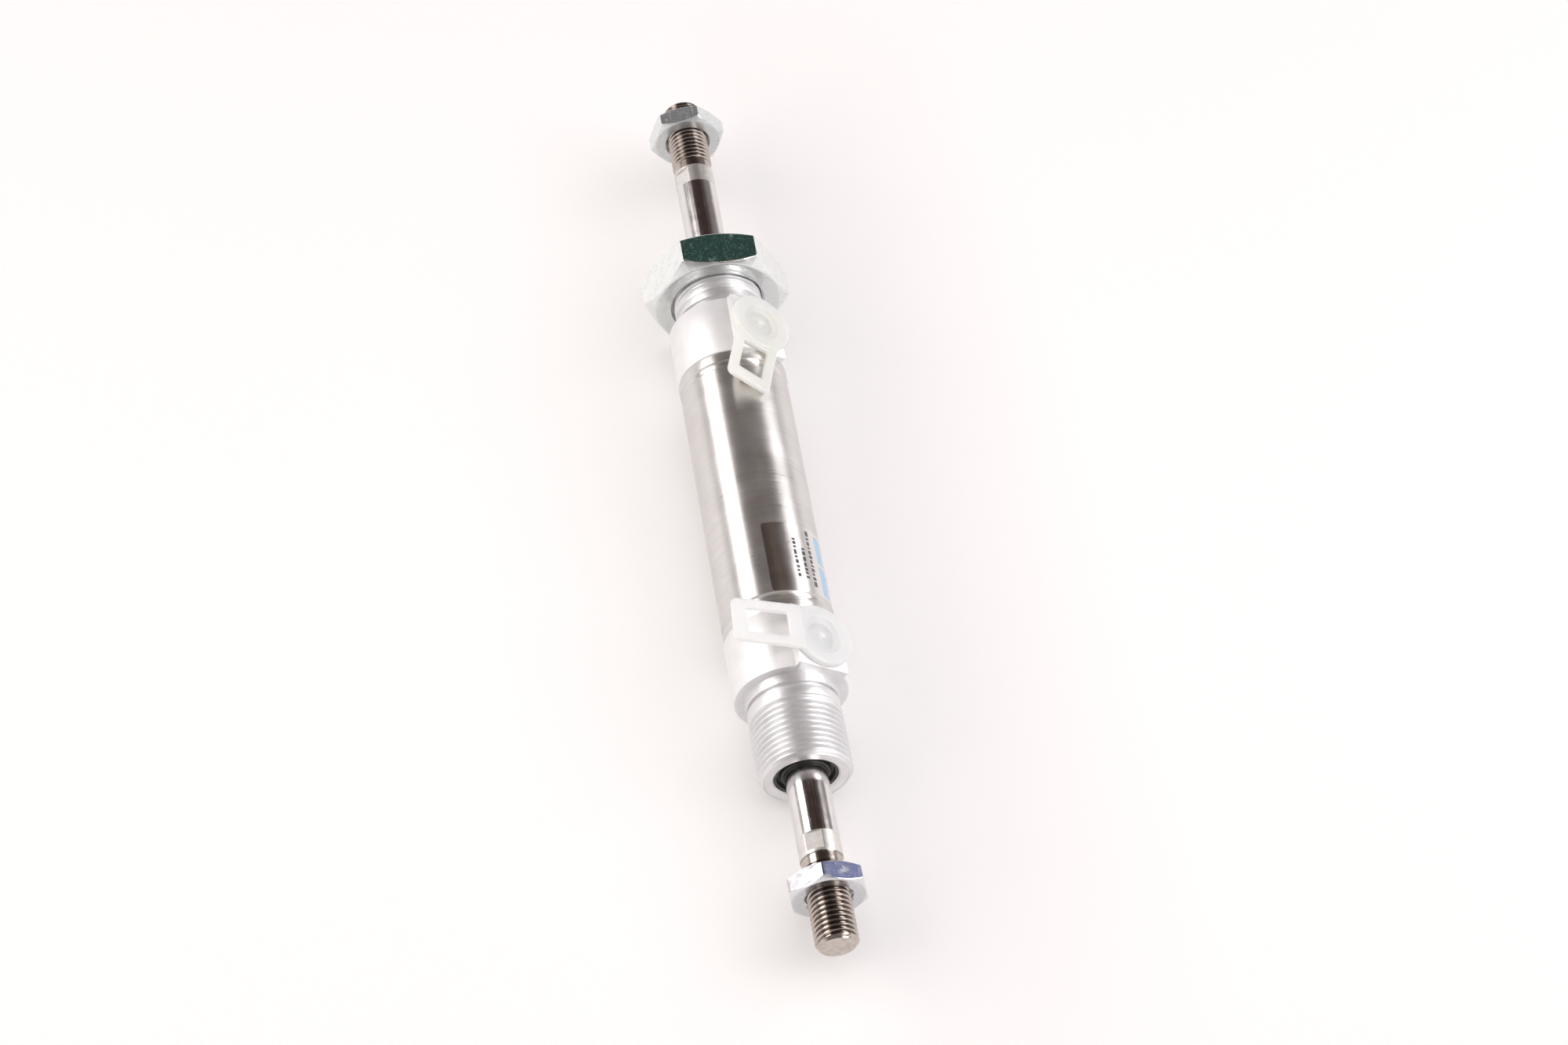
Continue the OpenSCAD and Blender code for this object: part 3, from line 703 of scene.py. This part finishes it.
def neck_thread(seed):
    """Thread of a neck, as a sleeve around it that fades in after the plain part."""
    angles = ring_angles(144)
    start, end = COLLAR_LEN + GROOVE_W + PLAIN_LEN, NECK_LEN
    depth = THREAD_DEPTH * NECK_PITCH
    dents = nicks(seed, 26, start, end, 0.16, 0.42)

    def radius(cut, y, a):
        fade = np.clip((y - start) / (1.3 * NECK_PITCH), 0, 1)
        crest = PLAIN_R + (NECK_R - PLAIN_R) * np.clip(fade * 3, 0, 1)
        cone = NECK_END_R + end - y
        return np.minimum(crest - depth * cut * fade - dents(y, a, NECK_R), cone)

    rows = thread_rows(angles, start, end, NECK_PITCH, radius)
    rows += [circle_row(angles, 9.9, y) for y in (end, start)] + rows[:1]
    return Shell().strip(rows, 1).mesh("neck_thread")


def make_caps():
    """Both end caps: one drilled core, with a port thread and a neck thread of its own."""
    core, tool, port = cap_core(), port_tool(), port_thread()
    for mesh in (core, tool):
        for finish in (CAP_ALLOY, NECK_ALLOY):
            mesh.materials.append(finish)
    block, drill = link("cap_block", core), link("port_drill", tool)
    cut = block.modifiers.new("port", "BOOLEAN")
    cut.operation, cut.solver, cut.object = "DIFFERENCE", "EXACT", drill
    settle(block)
    port_turn = Matrix.Rotation(math.radians(PORT_TURN), 4, "Y")
    for side, shoulder, half_turn, seed in (("near", NEAR_SHOULDER, TAU / 2, 5), ("far", FAR_SHOULDER, 0, 9)):
        mesh = joined("cap_" + side, [block.data, port, neck_thread(seed)])
        mesh.transform(Matrix.Translation((0, shoulder * MM, 0)) @ port_turn
                       @ Matrix.Rotation(half_turn, 4, "Z"))
        place("cap_" + side, mesh, [CAP_ALLOY, NECK_ALLOY], "barrel", "end_cap_" + side, 32)
    bpy.data.objects.remove(block)
    bpy.data.objects.remove(drill)


# ---------------------------------------------------------------- rod seals

def make_seals():
    """Rod seals seen in the mouths of the necks: rim, ring recess and wiper lip."""
    inner, outer, middle = 5.05, MOUTH_R, 6.28
    for side, shoulder, sign in (("near", NEAR_SHOULDER, -1), ("far", FAR_SHOULDER, 1)):
        profile = [(r, shoulder + sign * out, rounding) for r, out, rounding in (
            (outer, 15.2, 0), (outer, 21.3, 0.3), (middle + 0.55, 21.3, 0.12), (middle + 0.3, 20.2, 0.1),
            (middle - 0.3, 20.2, 0.1), (middle - 0.45, 20.95, 0.1), (inner + 0.45, 21.15, 0.15),
            (inner, 20.95, 0.08), (inner, 20.4, 0.1), (inner + 0.5, 19.5, 0), (inner + 0.5, 17.2, 0),
            (inner, 16.2, 0.1), (inner, 15.6, 0.1), (inner + 0.4, 15.2, 0))]
        name = "rod_seal_" + side
        place(name + "_skin", Shell().lathe(rounded(profile), ring_angles(96)).mesh(name), [RUBBER],
              "barrel", name)


# ---------------------------------------------------------------- piston rod

def make_rod():
    """Through rod: bevelled tips, threads, reliefs, wrench flats and the piston's slots."""
    low, high = span("piston_rod")
    middle = (low + high) / 2
    half_angle = math.degrees(math.acos(ROD_FLAT_HALF / ROD_R))
    edges = [turn + face + side * half_angle for turn in (NEAR_FLAT_TURN, FAR_FLAT_TURN)
             for face in (0, 180) for side in (-1, 1)]
    angles = ring_angles(96, edges)
    depth = THREAD_DEPTH * ROD_PITCH
    shell = Shell()

    def flat_r(turn):
        facing = np.abs(np.cos(angles - math.radians(turn)))
        return np.minimum(ROD_R, ROD_FLAT_HALF / np.maximum(facing, 0.5))

    def end(sign, tip, turn, seed):
        """One rod end, from its tip to the plain rod; gives back where the plain rod starts."""
        shoulder = tip + sign * ROD_THREAD_LEN
        relief = shoulder - sign * RELIEF_LEN
        flat_out, flat_in = shoulder + sign * ROD_LAND, shoulder + sign * (ROD_LAND + ROD_FLAT_LEN)
        y_from, y_to = sorted((tip, relief))
        dents = nicks(seed, 9, y_from, y_to, 0.09, 0.3)

        def radius(cut, y, a):
            tip_cone = ROD_R - TIP_BEVEL + np.abs(y - tip)
            relief_cone = RELIEF_R + np.abs(y - relief)
            rounded_r = ROD_R - depth * cut - dents(y, a, ROD_R)
            return np.minimum(np.minimum(rounded_r, tip_cone), relief_cone)

        screw = thread_rows(angles, y_from, y_to, ROD_PITCH, radius)
        face = [circle_row(angles, r, tip) for r in (0, 2.6, ROD_R - TIP_BEVEL - 0.05)]
        collar = [screw[-1] if sign > 0 else screw[0]] + [circle_row(angles, r, y) for r, y in rounded([
            (RELIEF_R, relief, 0), (RELIEF_R, shoulder, 0), (ROD_R - SHOULDER_BEVEL, shoulder, 0),
            (ROD_R, shoulder + sign * SHOULDER_BEVEL, 0.05), (ROD_R, flat_out, 0)])]
        flats = [circle_row(angles, flat_r(turn), y) for y in (flat_out, flat_in)]
        plain = circle_row(angles, ROD_R, flat_in)
        outer = face + (screw if sign > 0 else screw[::-1])
        for rows, slot in ((outer, 1), (collar[:-1], 1), (collar[-2:] + flats + [plain], 2)):
            shell.strip(rows if sign > 0 else rows[::-1], slot)
        return flat_in

    near_in = end(1, low, NEAR_FLAT_TURN, 3)
    far_in = end(-1, high, FAR_FLAT_TURN, 4)
    shaft = [(ROD_R, near_in)]
    for at, half, bottom in PISTON_SLOTS:
        y_in, y_out = middle + at - half, middle + at + half
        shaft += [(ROD_R, y_in), (bottom, y_in), (bottom, y_out), (ROD_R, y_out)]
    shaft += [(ROD_R, far_in)]
    shell.lathe(shaft, angles, closed=False)
    return place("rod_skin", shell.mesh("rod_skin"), [CHROME, TURNED_STEEL, MILLED_STEEL],
                 "rod", "piston_rod", 30)


# ---------------------------------------------------------------- nuts

def make_nut(name, body, finish, flats, thread_r, turn, edge):
    """Hexagon nut with chamfered faces and slightly rounded corners; a corner points to turn."""
    low, high = span(name)
    face_r = flats / 2 * 0.96
    hole_r, sink, corner = thread_r + 0.05, 0.8, 0.4
    reach = (flats / 2 - corner) / math.cos(TAU / 12)
    outline = []

    def side(start, end):
        """Points between two corners."""
        return [start.lerp(end, t) for t in np.linspace(0, 1, 14)[1:]]

    for k in range(6):
        towards = math.radians(turn + 60 * k)
        centre = Vector((math.sin(towards), math.cos(towards))) * reach
        arc = [centre + corner * Vector((math.sin(towards + a), math.cos(towards + a)))
               for a in np.linspace(-TAU / 12, TAU / 12, 6)]
        if outline:
            outline += side(outline[-1], arc[0])[:-1]
        outline += arc
    outline += side(outline[-1], outline[0])
    angles = np.array([math.atan2(p.x, p.y) for p in outline])
    hexagon = np.array([p.length for p in outline])

    def drop(r):
        """Depth of the chamfer at a radius."""
        return (r - face_r) * math.tan(TAU / 12)

    def half_rows(face, sign):
        """Rows from the bore's mouth over the face to the sides."""
        cone_r = hexagon - edge
        return [circle_row(angles, hole_r, face + sign * sink),
                circle_row(angles, hole_r + sink, face),
                circle_row(angles, face_r - edge, face),
                circle_row(angles, face_r, face + sign * 0.02),
                circle_row(angles, face_r + edge, face + sign * drop(face_r + edge)),
                circle_row(angles, cone_r, face + sign * drop(cone_r)),
                circle_row(angles, hexagon - 0.3 * edge, face + sign * (drop(hexagon) - 0.05 * edge)),
                circle_row(angles, hexagon, face + sign * (drop(hexagon) + 0.55 * edge))]

    lower, upper = half_rows(low, 1), half_rows(high, -1)
    rows = lower + upper[::-1] + lower[:1]
    return place(name + "_skin", Shell().strip(rows).mesh(name), [finish], body, name, 24)


# ---------------------------------------------------------------- port plugs

def strap(reach):
    """Flat pull tab with a window from reach on, lying along +X on z = 0, with soft edges."""
    side, window_end = WINDOW_W / 2, reach + WINDOW_LEN
    half, end = side + TAB_LEG, window_end + TAB_BAR
    outer = [(0, -half), (0, half)]
    for y, start in ((half - TAB_CORNER, TAU / 4), (TAB_CORNER - half, 0)):
        outer += [(end - TAB_CORNER + TAB_CORNER * math.cos(start - a), y + TAB_CORNER * math.sin(start - a))
                  for a in np.linspace(0, TAU / 4, 7)]
    window = [(reach, -side), (window_end, -side), (window_end, side), (reach, side)]
    soft = 0.3
    curve = bpy.data.curves.new("strap", "CURVE")
    curve.dimensions, curve.fill_mode = "2D", "BOTH"
    curve.extrude, curve.bevel_depth = (TAB_T / 2 - soft) * MM, soft * MM
    curve.bevel_resolution, curve.offset = 3, -soft * MM
    for loop in (outer, window):
        spline = curve.splines.new("POLY")
        spline.points.add(len(loop) - 1)
        for point, (x, y) in zip(spline.points, loop):
            point.co = (x * MM, y * MM, 0, 1)
        spline.use_cyclic_u = True
    obj = link("strap", curve)
    mesh = evaluated_mesh(obj)
    mesh.transform(Matrix.Translation((0, 0, TAB_T / 2 * MM)))
    bpy.data.objects.remove(obj)
    return mesh


def trim_root(mesh, radius, height):
    """Presses what stands above a height, inside a radius, down to it."""
    for vertex in mesh.vertices:
        if vertex.co.z > height * MM and vertex.co.xy.length < radius * MM:
            vertex.co.z = height * MM


def make_plug(side, port_y, turn, bend, finish):
    """Push-in plug and its pull tab, which turns about the port and bends up or down at the flange."""
    top = PLUG_SEAT + FLANGE_T
    dish, well, knob = top - DISH_DEPTH, top - WELL_DEPTH, top - KNOB_DROP
    profile = rounded([
        (0, SHANK_BORE_TOP, 0), (SHANK_BORE_R, SHANK_BORE_TOP, 0.3), (SHANK_BORE_R, -SHANK_LEN, 0.15),
        (SHANK_R, -SHANK_LEN, 0.5), (SHANK_R, PLUG_SEAT, 0.2), (FLANGE_R, PLUG_SEAT, 0.7),
        (FLANGE_R, top, 0.75), (DISH_R, top, 0.3), (DISH_R, dish, 0.25), (WELL_R, dish, 0.4),
        (WELL_R, well, 0.35), (KNOB_R, well, 0.15), (KNOB_R, knob, 0.4), (0, knob, 0)], 4)
    upright = Matrix.Rotation(TAU / 4, 4, "X")
    body = Shell().lathe(profile, ring_angles(96), closed=False).mesh("plug_body", upright)
    tab = strap(TAB_HINGE - TAB_ROOT + TAB_WEB)
    tab.transform(Matrix.Rotation(math.radians(turn), 4, "Z")
                  @ Matrix.Translation((TAB_HINGE * MM, 0, TAB_LIFT * MM))
                  @ Matrix.Rotation(math.radians(bend), 4, "Y")
                  @ Matrix.Translation(((TAB_ROOT - TAB_HINGE) * MM, 0, 0)))
    trim_root(tab, FLANGE_R - TAB_TRIM, top - 0.01)
    piece = link("plug_" + side, joined("plug_" + side, [body, tab]))
    fuse = piece.modifiers.new("fuse", "REMESH")
    fuse.mode, fuse.voxel_size = "VOXEL", 0.14 * MM
    soften = piece.modifiers.new("soften", "SMOOTH")
    soften.factor, soften.iterations = 0.5, 12
    settle(piece)
    mesh = piece.data
    bpy.data.objects.remove(piece)
    mesh.transform(Matrix.Translation((0, port_y * MM, 0))
                   @ Matrix.Rotation(math.radians(PORT_TURN), 4, "Y")
                   @ Matrix.Translation((0, 0, CAP_R * MM)))
    name = "port_plug_" + side
    return place(name + "_skin", mesh, [finish], name + "_body", name, 80)


# ---------------------------------------------------------------- label

def curved_patch(shell, turn_from, turn_to, y_from, y_to, r_in, r_out, slot, corner=0.0):
    """A thin curved plate between two turns and two heights, with rounded corners."""
    count = max(2, int((turn_to - turn_from) / 2.5) + 1)
    share = np.linspace(0, 1, count)
    heights = [y_from, y_to]
    if corner:
        steps = corner * (1 - np.cos(np.linspace(0, TAU / 4, 5)))
        heights = [y_from + s for s in steps] + [y_to - s for s in steps[::-1]]
    rows = []
    for y in heights:
        edge = min(y - y_from, y_to - y)
        pull = corner - math.sqrt(max(0.0, corner ** 2 - (corner - edge) ** 2)) if edge < corner else 0
        first, last = math.radians(turn_from) + pull / r_out, math.radians(turn_to) - pull / r_out
        rows.append(first + (last - first) * share)
    outer, inner = (np.array([circle_row(a, r, y) for a, y in zip(rows, heights)]) for r in (r_out, r_in))
    shell.strip(outer, slot)
    shell.strip(inner[::-1], slot)
    for first, second in ((inner[0], outer[0]), (outer[-1], inner[-1]),
                          (outer[:, 0], inner[:, 0]), (inner[:, -1], outer[:, -1])):
        shell.strip([first, second], slot)


def make_label():
    """Label film with rows of generic bars and two pale blue bands, none of which spells anything."""
    low, high = span("label_film")
    shell = Shell()
    curved_patch(shell, LABEL_START, LABEL_START + LABEL_COVER, low, high, TUBE_R + 0.004, FILM_R, 0, 0.7)
    rng = random.Random(12)
    # Turn and height of each row in degrees, then its start and end from the film's near edge
    for turn, height, first, last in ((21.5, 3.6, 4.2, 15.4), (31.0, 4.0, 4.2, 13.2), (40.0, 4.8, 2.4, 17.2)):
        y = low + first
        while y < low + last:
            length = rng.uniform(0.5, 1.5)
            curved_patch(shell, turn, turn + height * rng.uniform(0.75, 1.0), y, y + length,
                         FILM_R - 0.01, PRINT_R, 1)
            y += length + rng.uniform(0.3, 0.6)
    for first, last in ((1.2, 9.4), (10.6, 18.2)):
        curved_patch(shell, 54.0, 66.0, low + first, low + last, FILM_R - 0.01, PRINT_R, 2)
    return place("label_print", shell.mesh("label_print"), [FOIL, INK_DARK, INK_BLUE],
                 "barrel", "label_film")


make_tube()
make_caps()
make_seals()
make_rod()
make_nut("mounting_nut", "mounting_nut_body", ZINC_GREEN, 32.0, NECK_R, 90.0, 0.3)
make_nut("rod_nut_near", "rod_nut_near_body", ZINC_BLUE, 17.0, ROD_R, 49.0, 0.18)
make_nut("rod_nut_far", "rod_nut_far_body", ZINC_GREY, 17.0, ROD_R, 14.0, 0.18)
make_plug("near", NEAR_SHOULDER + HEAD_LEN / 2, 175.5, 17.0, PLUG_WHITE)
make_plug("far", FAR_SHOULDER - HEAD_LEN / 2, -110.0, 0.0, PLUG_CREAM)
make_label()


# ---------------------------------------------------------------- stage, light and camera

def make_floor():
    """A wide pale sheet that touches the near cap's edge and the mounting nut, with a painted soft shadow at
    one side.
    """
    near_y, near_z = NEAR_SHOULDER * MM, -CAP_R * MM
    nut_low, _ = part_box("mounting_nut")
    slope = math.atan2(nut_low.z - near_z, nut_low.y - near_y)
    mesh = bpy.data.meshes.new("floor")
    bm = bmesh.new()
    bmesh.ops.create_grid(bm, x_segments=8, y_segments=8, size=1.6)
    bm.to_mesh(mesh)
    bm.free()
    floor = link("floor", mesh)
    floor.rotation_euler.x = slope
    floor.location = (0, near_y, near_z)
    made, tree, shader = material("floor_paper", Roughness=0.85, Emission_Color=(1.0, 0.985, 0.985, 1),
                                  Emission_Strength=0.12)
    grain = noise(tree, place_of(tree), 900, 2)
    paper = mix(tree, span_map(tree, grain, 0.3, 0.7, 0, 1), (0.895, 0.88, 0.878), (0.91, 0.893, 0.892))
    aside, along, _ = parts_of(tree, place_of(tree))
    # Painted shadow: the paper is darker in a band beside the object, 0.02 to 0.09 m out on its +X side.
    painted_shadow = maths(tree, "MULTIPLY", span_map(tree, aside, 0, 0.02, 0, 1),
                   span_map(tree, aside, 0.045, 0.09, 1, 0))
    painted_shadow = maths(tree, "MULTIPLY", painted_shadow, span_map(tree, away_from(tree, along, 0.06), 0.1, 0.19, 1, 0))
    feed(tree, shader, Base_Color=mix(tree, painted_shadow, paper, (0.83, 0.812, 0.815)))
    mesh.materials.append(made)


def make_world():
    """Dim warm room overhead that brightens towards a white horizon."""
    world = bpy.data.worlds.new("studio")
    bpy.context.scene.world = world
    world.use_nodes = True
    tree = world.node_tree
    height = parts_of(tree, add(tree, "TexCoord").outputs["Generated"])["Z"]
    sky = ramp(tree, height, ((0.03, (1.0, 0.98, 0.98)), (0.12, (0.28, 0.25, 0.245)),
                              (0.5, (0.22, 0.195, 0.19)), (0.68, (0.045, 0.028, 0.024))))
    tree.links.new(sky, tree.nodes["Background"].inputs["Color"])
    tree.nodes["Background"].inputs["Strength"].default_value = 1.0


def softbox(name, turn, distance, y, width, length, radiance, colour, glossy=True, diffuse=True):
    """An area light at a turn from +Z towards +X, aimed at the axis.

    It may show in reflections only, or light dull surfaces only.
    """
    light = bpy.data.lights.new(name, "AREA")
    light.shape, light.size, light.size_y = "RECTANGLE", width, length
    light.energy = radiance * math.pi * width * length
    light.color = colour
    lamp = bpy.data.objects.new(name, light)
    COLLECTION.objects.link(lamp)
    a = math.radians(turn)
    place_at = Vector((distance * math.sin(a), y, distance * math.cos(a)))
    lamp.matrix_world = Matrix.Translation(place_at) @ Matrix.Rotation(a, 4, "Y")
    lamp.visible_glossy, lamp.visible_diffuse = glossy, diffuse


def make_camera():
    """Camera at the photograph's viewing angle, without shift or depth of field."""
    yaw, pitch, roll = math.radians(14.12), math.radians(53.53), math.radians(6.49)
    forward = Vector((math.sin(yaw) * math.cos(pitch), math.cos(yaw) * math.cos(pitch), -math.sin(pitch)))
    level = Vector((math.cos(yaw), -math.sin(yaw), 0))
    above = level.cross(forward)
    right = level * math.cos(roll) + above * math.sin(roll)
    up = above * math.cos(roll) - level * math.sin(roll)
    turn = Matrix((right, up, -forward)).transposed().to_4x4()
    data = bpy.data.cameras.new("camera")
    data.sensor_width, data.lens = 36.0, 81.73
    data.clip_start, data.clip_end = 0.01, 20
    camera = bpy.data.objects.new("camera", data)
    COLLECTION.objects.link(camera)
    camera.matrix_world = Matrix.Translation((-0.11742, -0.44096, 0.68471)) @ turn
    bpy.context.scene.camera = camera


make_floor()
make_world()
softbox("softbox_left", -55.3, 0.95, 0.16, 0.475, 1.40, 4.4, (1.0, 0.97, 0.95), diffuse=False)
softbox("softbox_right", 53.0, 0.95, -0.42, 0.40, 1.7, 7.0, (1.0, 0.985, 0.99), diffuse=False)
softbox("warm_strip", 10.0, 1.1, -0.2, 0.02, 1.0, 4.0, (1.0, 0.74, 0.42), diffuse=False)
softbox("key_left", -54.0, 1.1, 0.05, 0.7, 1.2, 1.9, (1.0, 0.96, 0.93), glossy=False)
softbox("key_right", 50.0, 1.1, 0.05, 0.7, 1.2, 1.9, (0.98, 0.98, 1.0), glossy=False)
softbox("overhead", 0.0, 1.2, 0.05, 1.5, 1.7, 1.38, (1.0, 0.975, 0.968), glossy=False)
make_camera()
bpy.context.scene.view_settings.view_transform = "Standard"
